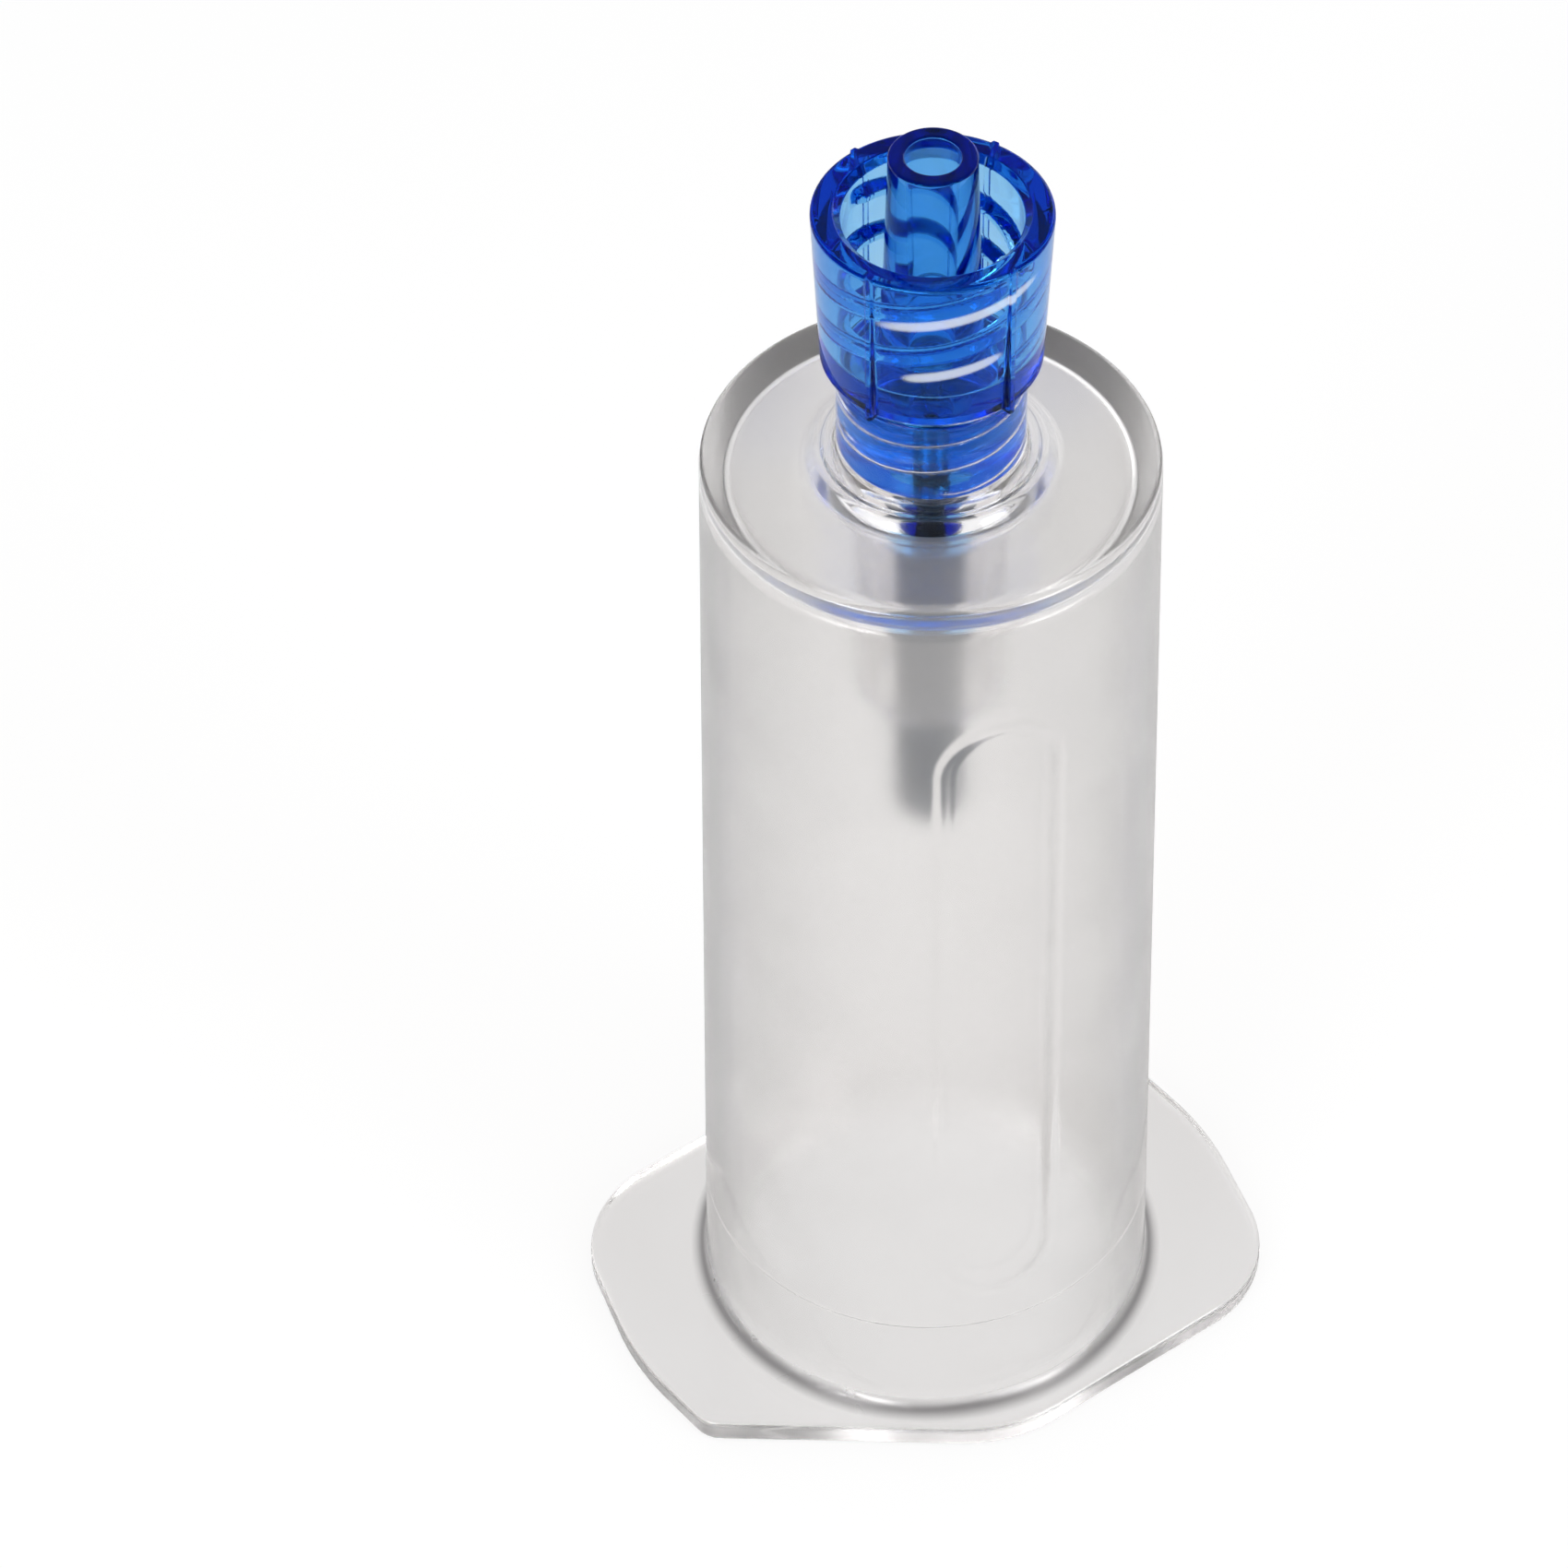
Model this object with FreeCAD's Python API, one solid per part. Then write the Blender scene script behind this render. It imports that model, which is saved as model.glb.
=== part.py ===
import FreeCAD, Part
import math
import os
from FreeCAD import Vector

# A tube holder with a male luer lock adapter fixed on its closed end, in millimetres.
# The origin is the middle of the flange's lower face, and +Z runs up the barrel to the luer tip.
# Azimuths are in degrees from the front, which is -Y, and grow towards +X.

# Clear holder: barrel and end wall
barrel_length = 56.0
barrel_end_radius = 10.5
barrel_mouth_radius = 11.2
barrel_wall = 1.1
end_wall = 1.6
end_rim_round = 0.35
cavity_round = 0.6
mouth_step_length = 7.0
mouth_step_depth = 0.12
mouth_lead_in = 0.3

# Clear holder: finger flange, half of its outline as corners (x, y, round), the rest by a half turn.
# Its lips and wings are how far it stands out past the barrel's mouth.
flange_thickness = 1.3
flange_front_lip = 1.3
flange_back_lip = 1.0
flange_wing = 7.1
flange_wing_shoulder = 3.4
flange_corners = [(4.5, -barrel_mouth_radius - flange_front_lip, 8.0),
                  (barrel_mouth_radius + flange_wing, -1.8, 6.0),
                  (barrel_mouth_radius + flange_wing_shoulder, 7.8, 15.0),
                  (10.9, barrel_mouth_radius + flange_back_lip, 1.5)]
flange_edge_round = 0.35
flange_root_round = 0.8

# Clear holder: pad and threaded neck on the end wall, and guard round the sleeve inside
pad_radius = 5.9
pad_height = 0.75
pad_slope = 0.7
neck_radius = 4.3
neck_length = 4.75
neck_root_round = 0.7
neck_bore_sink = 0.65
guard_radius = 3.4
guard_wall = 0.9
guard_length = 12.0
guard_draft = 0.1
guard_hub_depth = 2.8

# Clear holder: raised outline on the barrel, a long loop with round ends
bead_azimuth = 18.4
bead_low = 9.5
bead_high = 49.1
bead_loop_width = 6.7
bead_width = 1.05
bead_height = 0.22

# Luer adapter: lock collar
collar_length = 8.2
collar_top_radius = 5.39
collar_foot_radius = 5.0
collar_floor = 1.2
collar_lead_in = 0.35
collar_top_round = 0.2
rib_azimuths = [-31.0, 41.0, 149.0, 221.0]
rib_radius = 5.42
rib_width = 0.36

# Luer adapter: double start lock thread inside the collar
lock_root_radius = 4.05
lock_crest_radius = 3.5
lock_base_width = 1.0
lock_crest_width = 0.3
lock_lead = 5.0
lock_starts = 2
lock_margin = 0.15
lock_azimuth = 220.0

# Luer adapter: male cone with the standard taper of 6 parts in 100 on its diameter
tip_end_radius = 1.98
tip_projection = 3.1
tip_taper = 0.03
tip_bore_radius = 1.25
tip_bore_foot_radius = 1.0
tip_end_round = 0.12

# Luer adapter: shoulder, threaded stem and nose below the collar
shoulder_radius = 3.9
shoulder_length = 0.8
stem_crest_radius = 3.4
thread_depth = 0.45
thread_pitch = 1.55
thread_base_width = 0.95
thread_crest_width = 0.25
thread_end_gap = 0.2
stem_floor_gap = 0.2
nose_radius = 1.0
nose_length = 9.5

# Rear cannula and its socket in the adapter
cannula_radius = 0.455
cannula_bore_radius = 0.3
cannula_socket_depth = 13.2
cannula_exposed = 11.0
cannula_bevel_angle = 20.0
funnel_length = 0.8

# Rubber sleeve
sleeve_wall = 0.58
sleeve_bore_radius = 0.85
sleeve_step_gap = 0.2
sleeve_tip_gap = 1.0
sleeve_end_wall = 1.2

# Clearances between the pieces
thread_clearance = 0.06
bond_clearance = 0.02
sleeve_clearance = 0.02
bite = 0.1

# Heights that follow from the sizes above
end_wall_inside = barrel_length - end_wall
pad_top = barrel_length + pad_height
neck_floor = pad_top - neck_bore_sink
neck_top = pad_top + neck_length
guard_foot = end_wall_inside - guard_length
hub_foot = end_wall_inside - guard_hub_depth
collar_foot = neck_top + shoulder_length
collar_floor_height = collar_foot + collar_floor
collar_top = collar_foot + collar_length
tip_top = collar_top + tip_projection
stem_foot = neck_floor + stem_floor_gap
stem_core_radius = stem_crest_radius - thread_depth
nose_foot = stem_foot - nose_length
cannula_top = nose_foot + cannula_socket_depth
cannula_foot = nose_foot - cannula_exposed
sleeve_radius = nose_radius + sleeve_clearance + sleeve_wall
sleeve_foot = cannula_foot - sleeve_tip_gap - sleeve_end_wall


def revolved(points):
    """Solid of revolution about Z of a closed outline of (radius, height) points."""
    corners = [Vector(radius, 0, height) for radius, height in points]
    outline = Part.makePolygon(corners + corners[:1])
    return Part.Face(outline).revolve(Vector(0, 0, 0), Vector(0, 0, 1), 360)


def turned(shape, azimuth):
    """Copy of a shape built on the front, turned about Z to an azimuth."""
    copy = shape.copy()
    copy.rotate(Vector(0, 0, 0), Vector(0, 0, 1), azimuth)
    return copy


def circles_at(shape, radius, height):
    """Round edges about Z that have the given radius and height."""
    def fits(edge):
        curve = edge.Curve
        return (isinstance(curve, Part.Circle) and abs(curve.Center.z - height) < 1e-4
                and abs(curve.Radius - radius) < 1e-4 and math.hypot(curve.Center.x, curve.Center.y) < 1e-4)
    return [edge for edge in shape.Edges if fits(edge)]


def outer_radius(height):
    """Radius of the barrel's outside, which tapers evenly from the mouth to the closed end."""
    return barrel_mouth_radius + (barrel_end_radius - barrel_mouth_radius) * height / barrel_length


def rounded_outline(corners):
    """Closed wire of straight sides and arcs through corners given as (x, y, round)."""
    count = len(corners)
    places = [Vector(x, y, 0) for x, y, _ in corners]
    arcs = []
    for index in range(count):
        corner = places[index]
        before = (places[index - 1] - corner).normalize()
        after = (places[(index + 1) % count] - corner).normalize()
        half_angle = before.getAngle(after) / 2
        radius = corners[index][2]
        reach = radius / math.tan(half_angle)
        inward = (before + after).normalize()
        middle = corner + inward * (radius / math.sin(half_angle) - radius)
        arcs.append((corner + before * reach, middle, corner + after * reach))
    edges = []
    for index in range(count):
        edges.append(Part.Arc(*arcs[index]).toShape())
        edges.append(Part.LineSegment(arcs[index][2], arcs[(index + 1) % count][0]).toShape())
    return Part.Wire(edges)


def flange():
    """Flat finger flange with rounded upper and lower edges."""
    corners = flange_corners + [(-x, -y, radius) for x, y, radius in flange_corners]
    plate = Part.Face(rounded_outline(corners)).extrude(Vector(0, 0, flange_thickness))
    rims = [edge for edge in plate.Edges if edge.BoundBox.ZLength < 1e-6]
    return plate.makeFillet(flange_edge_round, rims)


def bead():
    """Raised loop with round ends, as high all along as the barrel's taper and curve ask."""
    def loop(width, low, high):
        radius = width / 2
        left, right = Vector(-radius, 0, low + radius), Vector(radius, 0, low + radius)
        upper_left, upper_right = Vector(-radius, 0, high - radius), Vector(radius, 0, high - radius)
        return Part.Wire([Part.Arc(left, Vector(0, 0, low), right).toShape(),
                          Part.LineSegment(right, upper_right).toShape(),
                          Part.Arc(upper_right, Vector(0, 0, high), upper_left).toShape(),
                          Part.LineSegment(upper_left, left).toShape()])
    reach = Vector(0, -2 * barrel_mouth_radius, 0)
    ring = Part.Face(loop(bead_loop_width, bead_low, bead_high)).extrude(reach)
    inside = Part.Face(loop(bead_loop_width - 2 * bead_width, bead_low + bead_width,
                            bead_high - bead_width)).extrude(reach)
    skin = Part.makeCone(barrel_mouth_radius + bead_height, barrel_end_radius + bead_height, barrel_length)
    core = Part.makeCone(barrel_mouth_radius - bite, barrel_end_radius - bite, barrel_length)
    raised = ring.cut(inside).common(skin.cut(core))
    return turned(raised, bead_azimuth)


def holder():
    """Barrel, end wall, neck, guard and flange, moulded as one piece."""
    wall = barrel_wall
    shell = revolved([
        (barrel_mouth_radius, 0),
        (barrel_end_radius, barrel_length),
        (pad_radius, barrel_length),
        (pad_radius - pad_slope, pad_top),
        (neck_radius, pad_top),
        (neck_radius, neck_top),
        (stem_crest_radius + thread_clearance, neck_top),
        (stem_crest_radius + thread_clearance, neck_floor),
        (nose_radius + bond_clearance, neck_floor),
        (nose_radius + bond_clearance, hub_foot),
        (guard_radius - guard_wall, hub_foot),
        (guard_radius - guard_wall, guard_foot),
        (guard_radius, guard_foot),
        (guard_radius + guard_draft, end_wall_inside),
        (outer_radius(end_wall_inside) - wall, end_wall_inside),
        (outer_radius(mouth_step_length) - wall, mouth_step_length),
        (outer_radius(mouth_step_length) - wall + mouth_step_depth, mouth_step_length),
        (outer_radius(mouth_lead_in) - wall + mouth_step_depth, mouth_lead_in),
        (outer_radius(0) - wall + mouth_step_depth + mouth_lead_in, 0),
    ])
    rim = circles_at(shell, barrel_end_radius, barrel_length)
    shell = shell.makeFillet(end_rim_round, rim)
    shell = shell.makeFillet(neck_root_round, circles_at(shell, neck_radius, pad_top))
    corner = circles_at(shell, outer_radius(end_wall_inside) - wall, end_wall_inside)
    shell = shell.makeFillet(cavity_round, corner)
    plate = flange().cut(Part.makeCylinder(barrel_mouth_radius - wall / 2, barrel_length))
    body = shell.fuse(plate)
    root = circles_at(body, outer_radius(flange_thickness), flange_thickness)
    body = body.makeFillet(flange_root_round, root)
    return body.fuse(bead()).removeSplitter()


def helical_ridge(root_radius, crest_radius, base_width, crest_width, lead, low, high, azimuth):
    """Thread ridge from one height to another, inward or outward, on a cylinder of the root radius."""
    outward = 1 if crest_radius > root_radius else -1
    foot = root_radius - outward * bite
    slope = (base_width - crest_width) / 2 / abs(crest_radius - root_radius)
    half_foot = base_width / 2 + slope * bite
    corners = [Vector(foot, 0, -half_foot), Vector(crest_radius, 0, -crest_width / 2),
               Vector(crest_radius, 0, crest_width / 2), Vector(foot, 0, half_foot)]
    profile = Part.makePolygon(corners + corners[:1])
    path = Part.makeHelix(lead, high - low, root_radius)
    ridge = Part.Wire(path).makePipeShell([profile], True, True)
    ridge.translate(Vector(0, 0, low))
    return turned(ridge, azimuth - 90)


def rib():
    """Upright rib on the front of the collar, which stands out more where the collar is narrower."""
    depth = rib_radius - (collar_foot_radius + lock_root_radius) / 2
    return Part.makeBox(rib_width, depth, collar_length - collar_top_round,
                        Vector(-rib_width / 2, -rib_radius, collar_foot))


def luer_adapter():
    """Lock collar, male cone, threaded stem and nose, moulded as one piece."""
    tip_foot_radius = tip_end_radius + tip_taper * (tip_top - collar_floor_height)
    socket_radius = cannula_radius + bond_clearance
    body = revolved([
        (tip_bore_radius, tip_top),
        (tip_end_radius, tip_top),
        (tip_foot_radius, collar_floor_height),
        (lock_root_radius, collar_floor_height),
        (lock_root_radius, collar_top - collar_lead_in),
        (lock_root_radius + collar_lead_in, collar_top),
        (collar_top_radius, collar_top),
        (collar_foot_radius, collar_foot),
        (shoulder_radius, collar_foot),
        (shoulder_radius, neck_top),
        (stem_core_radius, neck_top),
        (stem_core_radius, stem_foot),
        (nose_radius, stem_foot),
        (nose_radius, nose_foot),
        (socket_radius, nose_foot),
        (socket_radius, cannula_top),
        (cannula_bore_radius, cannula_top),
        (cannula_bore_radius, cannula_top + bite),
        (tip_bore_foot_radius, cannula_top + bite + funnel_length),
    ])
    body = body.makeFillet(collar_top_round, circles_at(body, collar_top_radius, collar_top))
    body = body.makeFillet(tip_end_round, circles_at(body, tip_end_radius, tip_top))
    lock_low = collar_floor_height + lock_base_width / 2 + lock_margin
    lock_high = collar_top - collar_lead_in - lock_base_width / 2 - lock_margin
    pieces = []
    for start in range(lock_starts):
        pieces.append(helical_ridge(lock_root_radius, lock_crest_radius, lock_base_width, lock_crest_width,
                                    lock_lead, lock_low, lock_high, lock_azimuth + start * 360 / lock_starts))
    stem_low = stem_foot + thread_base_width / 2 + thread_end_gap
    stem_high = neck_top - thread_base_width / 2 - thread_end_gap
    pieces.append(helical_ridge(stem_core_radius, stem_crest_radius, thread_base_width, thread_crest_width,
                                thread_pitch, stem_low, stem_high, 0))
    pieces += [turned(rib(), azimuth) for azimuth in rib_azimuths]
    for piece in pieces:
        body = body.fuse(piece)
    return body.removeSplitter()


def cannula():
    """Steel tube with a bevelled point at its lower end."""
    length = cannula_top - cannula_foot
    tube = Part.makeCylinder(cannula_radius, length, Vector(0, 0, cannula_foot))
    tube = tube.cut(Part.makeCylinder(cannula_bore_radius, length, Vector(0, 0, cannula_foot)))
    side = 4 * length
    wedge = Part.makeBox(side, side, side, Vector(-side / 2, -side / 2, -side))
    wedge.rotate(Vector(0, 0, 0), Vector(1, 0, 0), 90 - cannula_bevel_angle)
    rise = cannula_radius / math.tan(math.radians(cannula_bevel_angle))
    wedge.translate(Vector(0, 0, cannula_foot + rise))
    return tube.cut(wedge)


def sleeve():
    """Rubber sleeve pushed on the nose up to the guard's hub, closed with a round end below the point."""
    seat_radius = nose_radius + sleeve_clearance
    step = nose_foot - sleeve_step_gap
    body = revolved([
        (0, sleeve_foot),
        (sleeve_radius, sleeve_foot),
        (sleeve_radius, hub_foot),
        (seat_radius, hub_foot),
        (seat_radius, step),
        (sleeve_bore_radius, step),
        (sleeve_bore_radius, sleeve_foot + sleeve_end_wall),
        (0, sleeve_foot + sleeve_end_wall),
    ])
    return body.makeFillet(sleeve_radius * 0.9, circles_at(body, sleeve_radius, sleeve_foot))


def main():
    os.makedirs("parts", exist_ok=True)
    pieces = {"holder": holder(), "luer_adapter": luer_adapter(),
              "rear_cannula": cannula(), "rubber_sleeve": sleeve()}
    for name, shape in pieces.items():
        shape.exportStep("parts/" + name + ".step")
        print(name, "solids", len(shape.Solids), "valid", shape.isValid(), "volume", round(shape.Volume, 2))


main()
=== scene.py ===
import functools
import math

import bpy
import numpy as np
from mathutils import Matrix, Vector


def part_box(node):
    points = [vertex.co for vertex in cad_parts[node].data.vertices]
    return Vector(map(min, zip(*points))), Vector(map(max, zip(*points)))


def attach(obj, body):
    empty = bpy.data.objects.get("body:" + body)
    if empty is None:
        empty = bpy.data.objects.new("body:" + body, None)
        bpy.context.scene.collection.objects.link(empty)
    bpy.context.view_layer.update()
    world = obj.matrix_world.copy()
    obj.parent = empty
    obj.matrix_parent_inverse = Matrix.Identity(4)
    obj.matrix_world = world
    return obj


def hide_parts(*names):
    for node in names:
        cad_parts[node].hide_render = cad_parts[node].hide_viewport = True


# A clear tube holder with a see-through blue luer lock adapter fixed on its closed end.
# Sizes are in millimetres from the middle of the flange's lower face, with +Z up the barrel. Only those of
# the table, the lamps and the camera are in metres.
# Azimuths are in degrees from the front, which is -Y, and grow towards +X.
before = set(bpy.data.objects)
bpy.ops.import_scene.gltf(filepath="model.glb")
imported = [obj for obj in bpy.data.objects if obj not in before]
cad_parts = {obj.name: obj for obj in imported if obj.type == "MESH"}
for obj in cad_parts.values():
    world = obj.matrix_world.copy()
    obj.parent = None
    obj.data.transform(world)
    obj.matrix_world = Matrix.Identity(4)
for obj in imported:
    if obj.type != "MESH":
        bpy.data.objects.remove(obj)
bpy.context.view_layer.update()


# Table: a plain white sheet that the holder stands on. It is matt paint, so that only a soft shadow shows
# on it, and it shows itself to the camera and through clear plastic as white.
table_side, table_below = 4.0, 0.00005
table_paint = (0.9, 0.9, 0.9, 1.0)
table_white = (1.0, 1.0, 1.0, 1.0)
table_white_share, table_white_share_through = 0.62, 0.48
table_white_strength = 1.17


def empty_material(name):
    """New material and its node tree, which is empty."""
    material = bpy.data.materials.new(name)
    material.use_nodes = True
    material.node_tree.nodes.clear()
    return material, material.node_tree


def add_math(tree, operation, *values):
    """Output of a new Math node on numbers and node outputs."""
    node = tree.nodes.new("ShaderNodeMath")
    node.operation = operation
    for place, value in enumerate(values):
        if isinstance(value, float):
            node.inputs[place].default_value = value
        else:
            tree.links.new(value, node.inputs[place])
    return node.outputs[0]


def show_mix(tree, share, first, second):
    """Shows a material as the first shader where the share is 0 and as the second where it is 1."""
    mix = tree.nodes.new("ShaderNodeMixShader")
    tree.links.new(share, mix.inputs["Fac"])
    tree.links.new(first, mix.inputs[1])
    tree.links.new(second, mix.inputs[2])
    tree.links.new(mix.outputs[0], tree.nodes.new("ShaderNodeOutputMaterial").inputs["Surface"])


def table_material():
    """Matt paint, mixed with an even white for rays that come straight from the camera or through plastic."""
    material, tree = empty_material("table_paint")
    path = tree.nodes.new("ShaderNodeLightPath")
    straight = add_math(tree, "MULTIPLY", path.outputs["Is Camera Ray"], table_white_share)
    share = add_math(tree, "MULTIPLY_ADD", path.outputs["Is Transmission Ray"], table_white_share_through,
                     straight)
    paint = tree.nodes.new("ShaderNodeBsdfDiffuse")
    paint.inputs["Color"].default_value = table_paint
    white = tree.nodes.new("ShaderNodeEmission")
    white.inputs["Color"].default_value = table_white
    white.inputs["Strength"].default_value = table_white_strength
    show_mix(tree, share, paint.outputs[0], white.outputs[0])
    return material


table_mesh = bpy.data.meshes.new("table")
table_corners = [(-1, -1), (1, -1), (1, 1), (-1, 1)]
table_mesh.from_pydata([(x * table_side / 2, y * table_side / 2, -table_below) for x, y in table_corners], [],
                       [(0, 1, 2, 3)])
table_mesh.materials.append(table_material())
table = bpy.data.objects.new("table", table_mesh)
bpy.context.collection.objects.link(table)


# Daylight: an even pale sky all round, and three soft lamps: a large one high at each side of the front and
# a wide, weak one behind. Seen straight or through plastic, the sky is plain white.
sky_white = (1.0, 1.0, 1.0, 1.0)
sky_light, sky_seen = 0.35, 1.0
lamps = [("key_lamp", (-0.4, -0.6, 0.42), 0.4, 3.7), ("fill_lamp", (0.6, -0.4, 0.4), 0.4, 3.4),
         ("back_lamp", (0.35, 0.7, 0.28), 0.6, 0.9)]
lamp_aim = (0.0, 0.0, 0.04)


def add_range(tree, value, low, high, to_low, to_high, smooth=False):
    """Output that goes from to_low to to_high while the value goes from low to high, evenly or, if smooth,
    as 3s^2 - 2s^3 of the even share s. It stays put beyond both."""
    node = tree.nodes.new("ShaderNodeMapRange")
    node.interpolation_type = "SMOOTHSTEP" if smooth else "LINEAR"
    for socket, number in zip(("From Min", "From Max", "To Min", "To Max"), (low, high, to_low, to_high)):
        node.inputs[socket].default_value = number
    tree.links.new(value, node.inputs["Value"])
    return node.outputs["Result"]


world = bpy.data.worlds.new("sky")
bpy.context.scene.world = world
world.use_nodes = True
sky = world.node_tree
sky.nodes.clear()
sky_path = sky.nodes.new("ShaderNodeLightPath")
sky_direct = add_math(sky, "MAXIMUM", sky_path.outputs["Is Camera Ray"],
                      sky_path.outputs["Is Transmission Ray"])
sky_background = sky.nodes.new("ShaderNodeBackground")
sky_background.inputs["Color"].default_value = sky_white
sky.links.new(add_range(sky, sky_direct, 0.0, 1.0, sky_light, sky_seen), sky_background.inputs["Strength"])
sky.links.new(sky_background.outputs[0], sky.nodes.new("ShaderNodeOutputWorld").inputs["Surface"])

for lamp_name, lamp_place, lamp_size, lamp_power in lamps:
    lamp_data = bpy.data.lights.new(lamp_name, "AREA")
    lamp_data.shape = "DISK"
    lamp_data.size = lamp_size
    lamp_data.energy = lamp_power
    lamp = bpy.data.objects.new(lamp_name, lamp_data)
    lamp.location = lamp_place
    back = np.array(lamp_place) - np.array(lamp_aim)
    lamp.rotation_euler = (math.atan2(math.hypot(back[0], back[1]), back[2]), 0,
                           math.atan2(back[0], -back[1]))
    bpy.context.collection.objects.link(lamp)


# Camera: a long lens, looking down at the front at nearly 46 degrees. The lens is shifted sideways, because
# the holder stands right of the middle of the photograph.
camera_place = (0.0, -0.21803, 0.25871)
camera_down, camera_roll = 45.784, 0.401
camera_lens, camera_sensor = 151.1, 36.0
camera_shift = -0.0923
camera_near, camera_far = 0.01, 20.0
light_bounces, clear_bounces = 64, 24

camera_data = bpy.data.cameras.new("camera")
camera_data.sensor_width = camera_sensor
camera_data.lens = camera_lens
camera_data.shift_x = camera_shift
camera_data.clip_start = camera_near
camera_data.clip_end = camera_far
camera = bpy.data.objects.new("camera", camera_data)
camera.location = camera_place
camera.rotation_mode = "ZYX"
camera.rotation_euler = (math.radians(90 - camera_down), 0, math.radians(camera_roll))
bpy.context.collection.objects.link(camera)
bpy.context.scene.camera = camera

bpy.context.scene.view_settings.view_transform = "Standard"
cycles = bpy.context.scene.cycles
cycles.use_denoising = True
cycles.max_bounces = light_bounces
cycles.transmission_bounces = light_bounces
cycles.glossy_bounces = light_bounces
cycles.transparent_max_bounces = clear_bounces
cycles.caustics_reflective = False
cycles.caustics_refractive = False


# Holder: one injection moulding of clear, slightly hazy plastic. A long barrel with a finger flange round its
# open mouth is closed by an end wall, which carries a round pad and the threaded neck and, inside, a hub with
# a tube that guards the sleeve. A raised outline on the barrel marks where a thumb goes.
neck_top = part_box("holder")[1].z * 1000
neck_length, neck_bore_sink = 4.75, 0.65
pad_height = 0.75
pad_top = neck_top - neck_length
barrel_length = pad_top - pad_height
barrel_end_radius, barrel_mouth_radius, barrel_end_round = 10.5, 11.2, 0.35
barrel_wall, end_wall, cavity_end_round = 1.1, 1.6, 0.6
end_wall_inside = barrel_length - end_wall
neck_floor = pad_top - neck_bore_sink
mouth_step_height, mouth_step_depth, mouth_step_round = 7.0, 0.12, 0.04
mouth_lead_in, mouth_round = 0.3, 0.08
flange_thickness, flange_edge_round, flange_root_round = 1.3, 0.35, 0.8
flange_corners = [(4.5, -12.5, 8.0), (18.3, -1.8, 6.0), (14.6, 7.8, 15.0), (10.9, 12.2, 1.5)]
flange_middle = 15.0
pad_radius, pad_slope, pad_root_round, pad_edge_round = 5.9, 0.7, 0.6, 0.5
neck_radius, neck_root_round, neck_rim_round = 4.3, 0.7, 0.15
neck_bore_radius, neck_finish_foot = 3.46, 0.4
nose_radius, nose_contact = 1.0, 0.01
guard_bore_radius, guard_radius, guard_root_radius, guard_length = 2.5, 3.4, 3.5, 12.0
guard_rim_round, guard_root_round = 0.15, 0.4
hub_depth, hub_round = 2.8, 0.1
hub_foot = end_wall_inside - hub_depth
sharp_round = 0.05
loop_azimuth, loop_low, loop_high = 18.4, 9.5, 49.1
loop_width, loop_ridge_width, loop_ridge_height, loop_ridge_edge = 6.7, 1.1, 0.09, 0.55
loop_row_margin, loop_row_reach, loop_column_reach, loop_columns_closer = 0.3, 3.5, 19.5, 2.2
coarse, fine_row, thread_row = 6.0, 0.2, 0.075
holder_columns = 300


def rounded_loop(corners, arc_step=18.0):
    """Closed outline through corners given as (x, y, round, spacing). Each corner becomes a circular arc that
    touches both sides at round * tan(half the turn) from the corner, with a point every arc_step degrees.
    The straight stretch after it has points no further apart than the spacing, and one near either end."""
    near_end = 0.06
    places = np.array([corner[:2] for corner in corners], float)
    before = places - np.roll(places, 1, axis=0)
    before /= np.hypot(before[:, 0], before[:, 1])[:, None]
    after = np.roll(before, -1, axis=0)
    turn = np.arctan2(before[:, 0] * after[:, 1] - before[:, 1] * after[:, 0], (before * after).sum(1))
    arcs = []
    for index, (_, _, corner_round, _) in enumerate(corners):
        if corner_round == 0 or abs(turn[index]) < 1e-6:
            arcs.append(places[index:index + 1])
            continue
        side = math.copysign(1.0, turn[index])
        left = np.array([-before[index, 1], before[index, 0]]) * side
        start = places[index] - before[index] * corner_round * math.tan(abs(turn[index]) / 2)
        count = max(3, math.ceil(abs(turn[index]) / math.radians(arc_step)))
        steps = np.linspace(0, abs(turn[index]), count + 1)[:, None]
        arcs.append(start + corner_round * (np.sin(steps) * before[index] + (1 - np.cos(steps)) * left))
    pieces = []
    for index, arc in enumerate(arcs):
        end, start = arc[-1], arcs[(index + 1) % len(arcs)][0]
        length = np.hypot(*(start - end))
        parts = max(1, math.ceil(length / corners[index][3]))
        shares = np.linspace(0, 1, parts + 1)[1:-1]
        if length > 4 * near_end:
            shares = np.union1d(shares, [near_end / length, 1 - near_end / length])
        pieces += [arc, end + shares[:, None] * (start - end)]
    return np.concatenate(pieces)


def degrees_apart(azimuth, other):
    """Signed difference of two azimuths, from -180 to 180 degrees."""
    return (azimuth - other + 180) % 360 - 180


def closer_azimuths(count, middles, half_width, times):
    """Azimuths all the way round, in degrees. They follow from a running sum of a density, which is greater
    by the factor times within half_width of each of the middles."""
    fine = np.arange(0, 360, 0.05)
    away = np.min([np.abs(degrees_apart(fine, middle)) for middle in middles], axis=0)
    density = np.where(away < half_width, times, 1.0)
    share = (np.cumsum(density) - density[0]) / density.sum()
    return np.interp(np.arange(count) / count, share, fine)


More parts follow.
